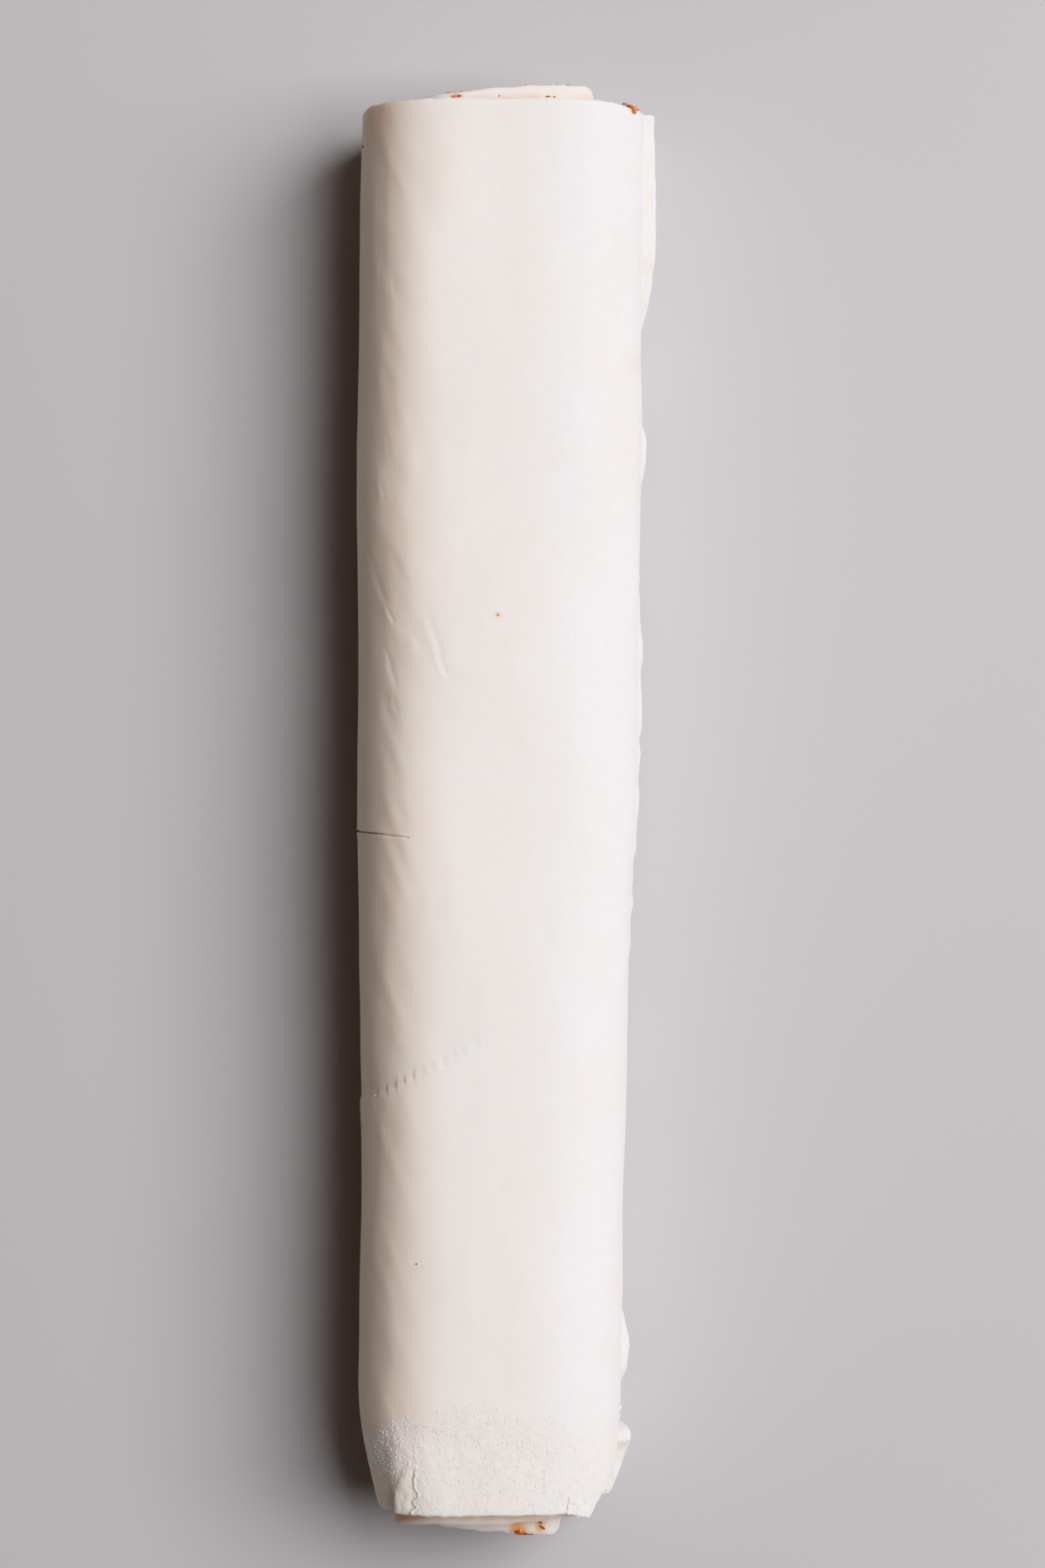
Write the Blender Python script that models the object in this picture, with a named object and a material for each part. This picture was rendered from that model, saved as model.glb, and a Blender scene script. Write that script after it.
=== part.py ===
"""An unbaked puff pastry roll, lying on its seam. Units are metres and +Z is up.

One sheet of puff pastry is spread with a red sauce and rolled up from a short side. The roll lies along Y on
the floor at z = 0. Its near end is at -Y, and the sheet's free edge climbs the lower +X side.

A place on the sheet has two coordinates. "turns" counts how far the sheet is wound from its core: whole
numbers point to +X, and from there each quarter goes to the top, to -X, to the bottom and back. "along" is
the distance from the near end of the outermost turn.
"""

import math

import bpy
import numpy as np

MM = 0.001

# The sheet and its winding
ROLL_LENGTH = 230 * MM
SHEET_THICKNESS = 2.8 * MM
FILLING_SPACE = 1.4 * MM
FILLING_THICKNESS = 0.8 * MM
PITCH = SHEET_THICKNESS + FILLING_SPACE
CORE_HALF_WIDTH = 8.45 * MM
CORNER_SQUARENESS = 0.15
SQUARE_RADIUS = 14 * MM
STRAIGHT_SHARPNESS = 3.0
SHEET_START = 0.17
SHEET_END = 3.95
OUTER_TURN_START = 2.92
FILLING_START = 0.68
FILLING_END = 3.70
RIGHT, TOP, LEFT = 3.0, 3.25, 3.5

# The free edge is pressed against the turn inside it
FLAP_START = 3.70
FLAP_PRESSED = 3.84
FLAP_CLEARANCE = 0.35 * MM

# The weight of the roll flattens its underside: how far it sinks, the share of its height that sinks with it,
# and the last unevenness that the floor presses out
SAG = 1.3 * MM
SINKING_SHARE = 0.5
FLOOR_PRESS = 0.05 * MM
UNDERSIDE_FROM, UNDERSIDE_TO = 3.56, 3.94
UNDERSIDE_POINTS = 160

# The roll's left side, right side and height, seen from above, at places along it
SECTIONS = (
    # along, left, right, height
    (0.0 * MM, -20.2 * MM, 17.2 * MM, 30.4 * MM),
    (5.7 * MM, -21.4 * MM, 18.8 * MM, 31.0 * MM),
    (14.4 * MM, -23.1 * MM, 19.7 * MM, 31.9 * MM),
    (28.8 * MM, -23.5 * MM, 20.1 * MM, 32.4 * MM),
    (57.5 * MM, -22.9 * MM, 20.4 * MM, 32.3 * MM),
    (86.3 * MM, -23.3 * MM, 21.1 * MM, 32.0 * MM),
    (115.0 * MM, -23.5 * MM, 22.4 * MM, 32.3 * MM),
    (143.8 * MM, -23.7 * MM, 23.0 * MM, 32.1 * MM),
    (172.5 * MM, -23.7 * MM, 23.1 * MM, 32.2 * MM),
    (201.3 * MM, -23.2 * MM, 23.4 * MM, 32.0 * MM),
    (230.0 * MM, -22.7 * MM, 23.6 * MM, 32.2 * MM),
)

# How far round the free edge reaches, at places along the roll: a torn notch and a nub are near the near end
FREE_EDGE = (
    # along, turns
    (0.0 * MM, 3.938),
    (3.0 * MM, 3.948),
    (6.0 * MM, 3.952),
    (8.5 * MM, 3.960),
    (10.3 * MM, 3.966),
    (11.4 * MM, 3.950),
    (12.3 * MM, 3.887),
    (13.8 * MM, 3.920),
    (15.6 * MM, 3.902),
    (17.7 * MM, 3.912),
    (24.0 * MM, 3.938),
    (33.0 * MM, 3.905),
    (50.0 * MM, 3.890),
    (66.0 * MM, 3.905),
    (74.0 * MM, 3.875),
    (84.0 * MM, 3.905),
    (108.0 * MM, 3.915),
    (150.0 * MM, 3.915),
    (165.0 * MM, 3.900),
    (176.0 * MM, 3.935),
    (188.0 * MM, 3.870),
    (199.0 * MM, 3.930),
    (208.0 * MM, 3.960),
    (230.0 * MM, 3.955),
)

# The inner turns slide out of the roll at both ends, by these distances, and the slide fades over this length
SLIDE_LENGTH = 5.0 * MM
NEAR_TELESCOPE = ((0.0, 4.9 * MM), (1.0, 4.9 * MM), (1.55, 4.6 * MM), (1.9, 2.0 * MM), (2.3, 0.6 * MM), (2.6, 0.0))
FAR_TELESCOPE = ((0.0, 3.9 * MM), (1.0, 3.9 * MM), (1.55, 3.4 * MM), (1.9, 1.6 * MM), (2.3, 0.5 * MM), (2.6, 0.0))

# Their ends are cut askew: the share of those distances, by x from the roll's axis
NEAR_SLANT = ((-19.3 * MM, 0.52), (-12.5 * MM, 0.62), (-1.7 * MM, 0.76), (5.5 * MM, 0.85), (12.3 * MM, 0.94))
FAR_SLANT = ((-15.0 * MM, 0.55), (3.6 * MM, 1.0), (13.0 * MM, 1.0), (15.5 * MM, 0.75))

# The left bend of the second turn is drawn out with them at the near end: turns, width in turns, distance out
NEAR_CORNER = (2.46, 0.13, 3.1 * MM)

# The outermost turn is torn askew on the right of the near end, up to a tab
NEAR_RIGHT_END = (
    # turns, distance out
    (2.90, 0.0),
    (2.93, -1.1 * MM),
    (3.00, -1.1 * MM),
    (3.07, -0.6 * MM),
    (3.12, 0.75 * MM),
    (3.155, 0.55 * MM),
    (3.18, 0.0),
)

# Sauce squeezed out of the ends: turns, width in turns, distance out
NEAR_BLOBS = ((1.20, 0.06, 1.2 * MM),)
FAR_BLOBS = ((3.04, 0.06, 1.6 * MM),)
FILLING_SET_BACK = 0.4 * MM

# Marks in the top of the outermost turn, by x from the roll's axis and by distance along it
CRACK_ALONG = 110.4 * MM
CRACK_HALF_GAP = 0.55 * MM
CRACK_FROM, CRACK_TO = -24.0 * MM, -15.8 * MM
CRACK_DEPTH = 1.1 * MM
NEAR_LEDGE_X, NEAR_LEDGE_LENGTH = -15.4 * MM, 10.0 * MM
NEAR_LEDGE_WIDTH, NEAR_LEDGE_DEPTH = 2.2 * MM, 0.75 * MM
NEAR_SPLIT_X, NEAR_SPLIT_LENGTH = 11.6 * MM, 4.5 * MM
NEAR_SPLIT_WIDTH, NEAR_SPLIT_DEPTH = 1.0 * MM, 1.3 * MM
CRACK_RUN_IN, CRACK_RUN_OUT = 2.0 * MM, 3.0 * MM

# The far end of the outermost turn: its right shoulder falls back, and its free edge reaches out
FAR_OUTER_END = (
    # turns, distance out
    (3.00, 0.0),
    (3.04, -0.6 * MM),
    (3.12, -0.6 * MM),
    (3.18, 0.0),
    (3.84, 0.0),
    (3.88, 1.0 * MM),
)

# Soft waves in the top: their height and their lengths. All marks fade out down the sides, over these heights
WAVE_HEIGHT = 0.25 * MM
WAVE_ALONG, WAVE_ACROSS, WAVE_TWIST = 11 * MM, 9 * MM, 31 * MM
WAVE_SHIFT = 1.3
MARKS_FROM, MARKS_FULL = 12 * MM, 18 * MM

# How finely the surfaces are faceted
FINE_STEP = 1 / 36
MIDDLE_STEP = 1 / 18
CORE_END = 1.35
STATION_STEP = 8.0 * MM
NEAR_END_STEP = 2.2 * MM

PASTRY_COLOUR = (0.83, 0.79, 0.74, 1.0)
SAUCE_COLOUR = (0.62, 0.16, 0.035, 1.0)


def clear_scene():
    for obj in list(bpy.data.objects):
        bpy.data.objects.remove(obj)


def smooth_step(x, low, high):
    t = np.clip((x - low) / (high - low), 0.0, 1.0)
    return t * t * (3 - 2 * t)


def bump(x, centre, half_width):
    """1 at the centre, falling smoothly to 0 at the half width."""
    t = np.clip(np.abs(x - centre) / half_width, 0.0, 1.0)
    return (1 - t * t) ** 2


def table_value(table, x, column=1):
    return np.interp(x, [row[0] for row in table], [row[column] for row in table])


def wound_point(turns, radius):
    """A point of the winding, in the roll's section: flat runs between bends that are squarer further out."""
    angle = 2 * math.pi * turns
    across, up = np.cos(angle), np.sin(angle)
    straight = CORNER_SQUARENESS * radius * radius / SQUARE_RADIUS
    bend = radius - straight
    reach = math.tanh(STRAIGHT_SHARPNESS)
    x = (CORE_HALF_WIDTH + straight) * np.tanh(STRAIGHT_SHARPNESS * across) / reach + bend * across
    z = straight * np.tanh(STRAIGHT_SHARPNESS * up) / reach + bend * up
    return np.stack([x, z], axis=-1)


def sheet_radius(turns):
    """The middle of the sheet. Near its free edge the sheet closes on the turn inside it."""
    press = (FILLING_SPACE - FLAP_CLEARANCE) * smooth_step(turns, FLAP_START, FLAP_PRESSED)
    return PITCH * turns - press


def filling_radius(turns):
    return PITCH * (turns - 0.5)


def offset_curve(turns, radius_of, distance):
    """The wound curve moved outwards by a distance, square to itself."""
    step = 1e-4
    before = wound_point(turns - step, radius_of(turns - step))
    after = wound_point(turns + step, radius_of(turns + step))
    tangent = after - before
    tangent /= np.linalg.norm(tangent, axis=-1, keepdims=True)
    outward = np.stack([tangent[..., 1], -tangent[..., 0]], axis=-1)
    return wound_point(turns, radius_of(turns)) + distance * outward


def underside():
    """The height of the round winding's outer face under the roll, by x."""
    turns = np.linspace(UNDERSIDE_FROM, UNDERSIDE_TO, UNDERSIDE_POINTS)
    points = np.array([offset_curve(t, sheet_radius, SHEET_THICKNESS / 2) for t in turns])
    order = np.argsort(points[:, 0])
    return points[order, 0], points[order, 1]


UNDERSIDE_X, UNDERSIDE_Z = underside()
ROUND_BASE = UNDERSIDE_Z.min()
ROUND_LEFT = offset_curve(np.array(LEFT), sheet_radius, SHEET_THICKNESS / 2)[0]
ROUND_RIGHT = offset_curve(np.array(RIGHT), sheet_radius, SHEET_THICKNESS / 2)[0]
ROUND_HEIGHT = offset_curve(np.array(TOP), sheet_radius, SHEET_THICKNESS / 2)[1] - ROUND_BASE


def settle(section):
    """Sets the winding on the floor: its lower half sinks until the underside is flat."""
    x = section[..., 0]
    z = section[..., 1] - ROUND_BASE
    rise = np.interp(x, UNDERSIDE_X, UNDERSIDE_Z - ROUND_BASE)
    still = SINKING_SHARE * ROUND_HEIGHT
    share = np.clip((still - z) / np.maximum(still - rise, MM), 0.0, 1.0)
    sinking = np.minimum(rise, SAG) * share
    return np.stack([x, z - sinking], axis=-1)


def section_size(along, column):
    """A size from SECTIONS, which goes on in a straight line past the roll's ends."""
    rows = SECTIONS
    value = table_value(rows, along, column)
    for end, inner in ((rows[0], rows[1]), (rows[-1], rows[-2])):
        slope = (end[column] - inner[column]) / (end[0] - inner[0])
        beyond = (along - end[0]) * np.sign(end[0] - inner[0]) > 0
        value = np.where(beyond, end[column] + slope * (along - end[0]), value)
    return value


def place(section, along):
    """Fits the settled section to the roll's width and height at that place along it, down on the floor."""
    left, right = section_size(along, 1), section_size(along, 2)
    share = (section[..., 0] - ROUND_LEFT) / (ROUND_RIGHT - ROUND_LEFT)
    x = left + share * (right - left)
    z = np.maximum(section[..., 1] * section_size(along, 3) / ROUND_HEIGHT - FLOOR_PRESS, 0.0)
    return np.stack([x, along, z], axis=-1)


def telescope(turns, x):
    """How far that turn stands out of the near and the far end, at x from the roll's axis."""
    near = table_value(NEAR_TELESCOPE, turns) * table_value(NEAR_SLANT, x)
    far = table_value(FAR_TELESCOPE, turns) * table_value(FAR_SLANT, x)
    return near, far


def slide_out(along, near, far):
    """Moves the last stretch of each end out by the near and far distances."""
    near_share = np.clip(1 - along / SLIDE_LENGTH, 0.0, 1.0)
    far_share = np.clip(1 - (ROLL_LENGTH - along) / SLIDE_LENGTH, 0.0, 1.0)
    return along - near * near_share + far * far_share


def relief(points):
    """How far the sheet's outer face lies inside its even shape."""
    x, along, z = points[..., 0], points[..., 1], points[..., 2]
    upper = smooth_step(z, MARKS_FROM, MARKS_FULL)
    wave = WAVE_HEIGHT * np.sin(along / WAVE_ALONG + WAVE_SHIFT) * np.sin(x / WAVE_ACROSS + along / WAVE_TWIST)
    in_crack = smooth_step(x, CRACK_FROM - CRACK_RUN_IN, CRACK_FROM)
    in_crack *= smooth_step(-x, -CRACK_TO, -CRACK_TO + CRACK_RUN_OUT)
    crack = CRACK_DEPTH * in_crack * bump(along, CRACK_ALONG, CRACK_HALF_GAP)
    ledge_fade = smooth_step(-along, -NEAR_LEDGE_LENGTH, 0.0)
    ledge = NEAR_LEDGE_DEPTH * ledge_fade * bump(x, NEAR_LEDGE_X, NEAR_LEDGE_WIDTH)
    split_fade = smooth_step(-along, -NEAR_SPLIT_LENGTH, 0.0)
    split = NEAR_SPLIT_DEPTH * split_fade * bump(x, NEAR_SPLIT_X, NEAR_SPLIT_WIDTH)
    return upper * (wave + crack + ledge + split)


def all_stations():
    """Places along the roll: every section, steps between them, and the crack."""
    knots = [row[0] for row in SECTIONS]
    found = set(knots)
    for low, high in zip(knots, knots[1:]):
        step = NEAR_END_STEP if high <= SECTIONS[2][0] else STATION_STEP
        count = math.ceil((high - low) / step)
        found.update(low + (high - low) * k / count for k in range(1, count))
    found.update(CRACK_ALONG + k * CRACK_HALF_GAP for k in (-1, 0, 1))
    return np.array(sorted(found))


FINE_STATIONS = all_stations()
COARSE_STATIONS = np.array([row[0] for row in SECTIONS])


def turns_from(start, end):
    """Fine steps in the tight bends of the core and in the outermost turn, and longer ones between."""
    core = np.arange(start, CORE_END, FINE_STEP)
    middle = np.arange(CORE_END, min(end, OUTER_TURN_START), MIDDLE_STEP)
    outer = np.arange(OUTER_TURN_START, end, FINE_STEP)
    return np.concatenate([core, middle, outer, [end]])


def sheet_column(turns, side, stations):
    """One line of points along the sheet's outer (side 1) or inner (side -1) face."""
    share = max(0.0, (turns - FLAP_START) / (SHEET_END - FLAP_START))
    reached = turns + share * (table_value(FREE_EDGE, stations) - SHEET_END)
    section = settle(offset_curve(reached, sheet_radius, side * SHEET_THICKNESS / 2))
    near, far = telescope(turns, section[:, 0])
    corner, width, out = NEAR_CORNER
    near = near + out * bump(turns, corner, width) + table_value(NEAR_RIGHT_END, turns)
    far = far + table_value(FAR_OUTER_END, turns)
    points = place(section, slide_out(stations, near, far))
    if side > 0 and turns >= OUTER_TURN_START:
        middle = place(settle(offset_curve(reached, sheet_radius, 0.0)), points[:, 1])
        inward = (middle - points) / np.linalg.norm(middle - points, axis=-1, keepdims=True)
        points = points + relief(points)[:, None] * inward
    return points


def filling_column(turns, side, stations):
    """One line of points along the filling, whose ends are set back but for a few blobs."""
    section = settle(offset_curve(np.full(len(stations), turns), filling_radius, side * FILLING_THICKNESS / 2))
    near, far = telescope(turns, section[:, 0])
    near = near - FILLING_SET_BACK + sum(out * bump(turns, at, width) for at, width, out in NEAR_BLOBS)
    far = far - FILLING_SET_BACK + sum(out * bump(turns, at, width) for at, width, out in FAR_BLOBS)
    return place(section, slide_out(stations, near, far))


def zip_columns(a, b):
    """Faces between two neighbouring columns of (station, vertex): quads, or triangles where one has more."""
    faces = []
    i = j = 0
    while i + 1 < len(a) or j + 1 < len(b):
        half_a = a[i][0] + a[i + 1][0] if i + 1 < len(a) else math.inf
        half_b = b[j][0] + b[j + 1][0] if j + 1 < len(b) else math.inf
        if half_a == half_b:
            faces.append((a[i][1], b[j][1], b[j + 1][1], a[i + 1][1]))
            i, j = i + 1, j + 1
        elif half_a < half_b:
            faces.append((a[i][1], b[j][1], a[i + 1][1]))
            i += 1
        else:
            faces.append((a[i][1], b[j][1], b[j + 1][1]))
            j += 1
    return faces


def wound_solid(name, outer, inner, material):
    """One closed solid from columns of (stations, points) on its outer and inner faces."""
    vertices, rings = [], []
    for side in (outer, inner):
        ring = []
        for stations, points in side:
            first = len(vertices)
            vertices.extend(map(tuple, points))
            ring.append([(float(s), first + k) for k, s in enumerate(stations)])
        rings.append(ring)
    outer_ring, inner_ring = rings
    loop = outer_ring + inner_ring[::-1]
    faces = []
    for a, b in zip(loop, loop[1:] + loop[:1]):
        faces += zip_columns(b, a)
    for k in range(len(outer_ring) - 1):
        for end, turned in ((0, False), (-1, True)):
            cap = [ring[k + shift][end][1] for ring, shift in
                   ((outer_ring, 0), (outer_ring, 1), (inner_ring, 1), (inner_ring, 0))]
            faces.append(tuple(cap[::-1] if turned else cap))
    mesh = bpy.data.meshes.new(name)
    mesh.from_pydata(vertices, [], faces)
    mesh.materials.append(material)
    mesh.shade_smooth()
    mesh.set_sharp_from_angle(angle=math.radians(40))
    mesh.validate()
    obj = bpy.data.objects.new(name, mesh)
    bpy.context.scene.collection.objects.link(obj)
    return obj


def surface(name, colour, roughness):
    material = bpy.data.materials.new(name)
    material.use_nodes = True
    shader = material.node_tree.nodes["Principled BSDF"]
    shader.inputs["Base Color"].default_value = colour
    shader.inputs["Roughness"].default_value = roughness
    shader.inputs["Metallic"].default_value = 0.0
    return material


def make_pastry():
    """The sheet. Its visible face and its free edge have the fine stations."""
    turns = turns_from(SHEET_START, SHEET_END)
    fine_from = {1: OUTER_TURN_START, -1: FLAP_START}
    sides = {}
    for side in (1, -1):
        columns = []
        for t in turns:
            stations = FINE_STATIONS if t >= fine_from[side] else COARSE_STATIONS
            columns.append((stations, sheet_column(t, side, stations)))
        sides[side] = columns
    return wound_solid("pastry_sheet", sides[1], sides[-1], surface("pastry", PASTRY_COLOUR, 0.6))


def make_filling():
    """The sauce between the turns of the sheet."""
    turns = turns_from(FILLING_START, FILLING_END)
    sides = [
        [(COARSE_STATIONS, filling_column(t, side, COARSE_STATIONS)) for t in turns]
        for side in (1, -1)
    ]
    return wound_solid("sauce_filling", sides[0], sides[1], surface("sauce", SAUCE_COLOUR, 0.3))


def move_origin_to_base(objects):
    """The origin goes to the middle of the base."""
    points = np.array([v.co for obj in objects for v in obj.data.vertices])
    low, high = points.min(axis=0), points.max(axis=0)
    for obj in objects:
        for vertex in obj.data.vertices:
            vertex.co.x -= (low[0] + high[0]) / 2
            vertex.co.y -= (low[1] + high[1]) / 2
            vertex.co.z -= low[2]


def main():
    clear_scene()
    move_origin_to_base([make_pastry(), make_filling()])


main()
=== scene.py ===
"""An unbaked puff pastry roll with a red sauce in it, lying on a pale floor and seen from straight above.

Lengths are in millimetres until a mesh is made. A place on the roll has two coordinates: "across" is the distance
from the roll's axis, towards the side where the sheet's free edge climbs, and "along" is the distance from the near
end of the outermost turn. A place in the winding is given in turns: whole numbers point to the free edge's side, and
from there each quarter goes to the top, to the other side, to the underside and back.
"""

import math

import bmesh
import bpy
import numpy as np
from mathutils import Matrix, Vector

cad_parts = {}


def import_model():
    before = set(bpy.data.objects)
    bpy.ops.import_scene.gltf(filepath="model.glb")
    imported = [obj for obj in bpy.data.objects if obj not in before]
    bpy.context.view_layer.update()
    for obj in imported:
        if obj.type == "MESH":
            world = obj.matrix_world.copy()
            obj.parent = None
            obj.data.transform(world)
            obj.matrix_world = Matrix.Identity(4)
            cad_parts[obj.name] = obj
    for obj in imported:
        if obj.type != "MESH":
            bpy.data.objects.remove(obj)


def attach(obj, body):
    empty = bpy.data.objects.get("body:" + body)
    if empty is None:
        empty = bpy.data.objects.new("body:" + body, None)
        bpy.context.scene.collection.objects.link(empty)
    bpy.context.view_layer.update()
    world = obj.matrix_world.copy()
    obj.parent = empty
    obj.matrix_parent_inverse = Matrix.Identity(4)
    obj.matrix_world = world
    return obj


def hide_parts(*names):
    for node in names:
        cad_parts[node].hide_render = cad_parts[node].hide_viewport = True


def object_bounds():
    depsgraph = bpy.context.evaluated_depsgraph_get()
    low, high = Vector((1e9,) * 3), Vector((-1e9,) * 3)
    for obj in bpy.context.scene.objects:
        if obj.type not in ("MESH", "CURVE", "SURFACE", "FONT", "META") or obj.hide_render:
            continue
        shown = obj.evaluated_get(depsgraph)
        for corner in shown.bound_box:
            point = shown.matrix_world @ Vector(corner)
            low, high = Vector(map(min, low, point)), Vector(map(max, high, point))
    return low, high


MM = 0.001

# The sheet and its winding
ROLL_LENGTH = 230.0
SHEET_THICKNESS = 2.8
PITCH = 4.2
CORE_HALF_WIDTH = 8.45
CORNER_SQUARENESS = 0.15
SQUARE_RADIUS = 14
STRAIGHT_SHARPNESS = 3.0
SHEET_START, SHEET_END = 0.17, 3.95
OUTER_TURN_START = 2.92
RIGHT, TOP, LEFT = 3.0, 3.25, 3.5
FLAP_START, FLAP_PRESSED = 3.70, 3.84
OUTERMOST_TURN_LENGTH = 130
FLAP_PRESS = 1.05
SAG = 1.3
FLOOR_PRESS = 0.05
DOUGH_LEAVES = 5
SLIDE_LENGTH = 5.0

# The roll's axis and near end, from the middle of the model's base
AXIS_X = -1.0948
NEAR_END_Y = -114.5064

# Places along the roll, and its left side, right side and height there
SECTIONS = (
    (0, -20.2, 17.2, 30.4), (5.7, -21.4, 18.8, 31), (14.4, -23.1, 19.7, 31.9), (28.8, -23.5, 20.1, 32.4),
    (57.5, -22.9, 20.4, 32.3), (86.3, -23.3, 21.1, 32), (115, -23.5, 22.4, 32.3), (143.8, -23.7, 23, 32.1),
    (172.5, -23.7, 23.1, 32.2), (201.3, -23.2, 23.4, 32), (230, -22.7, 23.6, 32.2),
)

# Places along the roll, and how far round the free edge reaches there, in turns
FREE_EDGE = (
    (0, 3.938), (3, 3.948), (6, 3.952), (8.5, 3.96), (10.3, 3.966), (11.4, 3.95), (12.3, 3.887), (13.8, 3.92),
    (15.6, 3.902), (17.7, 3.912), (24, 3.938), (33, 3.905), (50, 3.89), (66, 3.905), (74, 3.875), (84, 3.905),
    (108, 3.915), (150, 3.915), (165, 3.9), (176, 3.935), (188, 3.87), (199, 3.93), (208, 3.96), (230, 3.955),
)

# How far each turn stands out of the ends, and how that varies across
NEAR_TELESCOPE = ((0, 4.9), (1, 4.9), (1.55, 4.6), (1.9, 2), (2.3, 0.6), (2.6, 0))
FAR_TELESCOPE = ((0, 3.9), (1, 3.9), (1.55, 3.4), (1.9, 1.6), (2.3, 0.5), (2.6, 0))
NEAR_SLANT = ((-19.3, 0.52), (-12.5, 0.62), (-1.7, 0.76), (5.5, 0.85), (12.3, 0.94))
FAR_SLANT = ((-15, 0.55), (3.6, 1), (13, 1), (15.5, 0.75))

# The left bend of the second turn is drawn out at the near end: turns, distance out
NEAR_CORNER = ((2.17, 0), (2.25, 1.2), (2.34, 1.6), (2.4, 2.2), (2.45, 2.9), (2.5, 2.5), (2.55, 0.9), (2.6, 0))

# The ends of the outermost turn are torn askew: turns, distance out
NEAR_RIGHT_END = (
    (2.9, 0), (2.93, -1.6), (3, -2.1), (3.03, -2.3), (3.055, -3), (3.08, -2.8), (3.1, -0.8), (3.107, 0.5),
    (3.112, 0.9), (3.12, 0.75), (3.135, 0.42), (3.155, 0.05), (3.18, -0.38), (3.42, -0.38), (3.5, 0),
)
FAR_OUTER_END = ((3, 0), (3.04, -0.6), (3.12, -0.6), (3.18, 0), (3.84, 0), (3.88, 1))

# Creases: points (across, along), half width, depth and the height of the lip beside them
CREASES = (
    (((-11.9, 147.2), (-11.1, 144.6), (-10.2, 142.4), (-9.6, 140.6)), 0.6, 0.07, 0.04),
    (((-10.3, 142.6), (-9.7, 139.9), (-9.2, 138.2), (-8.2, 136)), 0.45, 0.12, 0.07),
    (((-21.8, 157.6), (-20.9, 155), (-19.9, 152.2)), 0.7, 0.06, 0.03),
    (((-20.6, 153.2), (-19.2, 150), (-18.3, 148)), 0.7, 0.07, 0.03),
    (((-18.6, 148), (-17.6, 146.2), (-17.1, 145.2)), 0.4, 0.11, 0.03),
    (((-18.9, 141.6), (-18, 139.4), (-17.4, 137.8)), 0.6, 0.06, 0.03),
    (((-18.6, 139.6), (-17.4, 136.8), (-16.6, 134.4)), 0.6, 0.06, 0.03),
    (((-17.6, 133.2), (-16.4, 130.4)), 0.7, 0.05, 0.03),
    (((-13.8, 143.6), (-12.4, 140.2)), 0.8, 0.04, 0.03),
    (((2.3, 139.5), (3.4, 138.9), (4.5, 139)), 0.4, 0.07, 0.03),
    (((-17.4, 200.4), (-16.5, 199.2)), 0.4, 0.09, 0.04),
    (((-21, 189.6), (-20.2, 188.2)), 0.4, 0.09, 0.04),
    (((-18.8, 175.2), (-17.9, 173.6)), 0.4, 0.09, 0.04),
    (((-19.5, 168.5), (-18.6, 165.4)), 0.45, 0.08, 0.04),
    (((-19.4, 126.5), (-17.6, 124.2)), 0.45, 0.08, 0.04),
)

# The crack across the left shoulder
CRACK = ((-24, 111.35), (-21.5, 111.15), (-19, 110.95), (-16.6, 110.6), (-14.6, 110.4))
CRACK_END, CRACK_DEPTH = -14.4, 1.15

# The near end's left shoulder: the skin is torn off a ledge of cut dough. Its two sides, as (along, across)
LEDGE_LEFT = ((-1, -16.4), (2.5, -16.5), (4.5, -16.3), (6, -15.8), (7.5, -15.1), (9, -14.4), (10.2, -14))
LEDGE_RIGHT = (
    (-0.3, -14.15), (0.9, -14), (1.75, -13.1), (2, -13.7), (2.75, -13.9), (3.2, -13.1), (4.2, -13.1),
    (5, -13.6), (6.4, -13.7), (7.6, -13.45), (8.7, -13.45), (9.6, -14.1), (10.2, -14),
)
LEDGE_RAISED, LEDGE_DEPTH, SIDE_DEPTH = 0.15, 0.2, 0.25
LEAF_CRACK = ((-13.1, 11.8), (-12.6, 10.9), (-12.45, 9.9), (-13, 9), (-13.4, 8.6))

# The right shoulder: a tear, and a crack from it
NEAR_TEAR = ((11.37, 4.33), (11.05, 2), (10.76, -0.6))
TEAR_CRACK = ((11.3, 4), (12.6, 3.4))

# The edge of the floury patch at the near end
FLOUR_EDGE = (
    (-24, 10.5), (-20.5, 13.1), (-17.6, 15.8), (-12, 17), (-7.6, 18.2), (0, 17.4), (9.3, 16.1), (18, 13),
)

# A low step in the dough on the left shoulder, and the flour that drifted against it
LOW_STEP = ((-22, 67.6), (-13, 72.4), (-2, 77.6), (4, 79))
FLOUR_DRIFT = ((-20.5, 68.6), (-13, 72.4), (-2, 77.6))

DOUGH_WHITE = (0.91, 0.875, 0.882, 1.0)
DOUGH_CREAM = (0.89, 0.81, 0.755, 1.0)
# Painted warm shade: the colour the skin takes towards its shaded left side
SHADE_WARM_DOUGH = (0.90, 0.745, 0.62, 1.0)
CUT_CREAM = (0.95, 0.87, 0.78, 1.0)
BUTTER = (0.80, 0.66, 0.46, 1.0)
# Brown of damp dough at the far end's left corner, and painted brown shade over the left shoulder
DAMP_AND_SHADE_BROWN = (0.90, 0.60, 0.43, 1.0)
FLOUR_WHITE = (0.93, 0.86, 0.82, 1.0)
SAUCE_RED = (0.50, 0.075, 0.012, 1.0)
SAUCE_ORANGE = (0.68, 0.27, 0.07, 1.0)
OIL_ORANGE = (0.87, 0.37, 0.085, 1.0)
HERB = (0.09, 0.045, 0.012, 1.0)
FLOOR_GREY = (0.553, 0.543, 0.554, 1.0)


def clamp(x, low=0.0, high=1.0):
    return np.clip(x, low, high)


def smooth_step(x, low, high):
    t = clamp((x - low) / (high - low))
    return t * t * (3 - 2 * t)


def bump(x, centre, half_width):
    """1 at the centre, falling smoothly to 0 at the half width."""
    t = clamp(np.abs(x - centre) / half_width)
    return (1 - t * t) ** 2


def fading(x, low, high):
    """1 below low, falling smoothly to 0 at high."""
    return smooth_step(-x, -high, -low)


def flat_points(x, y):
    return np.stack([x, y, 0 * x], axis=-1)


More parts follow.
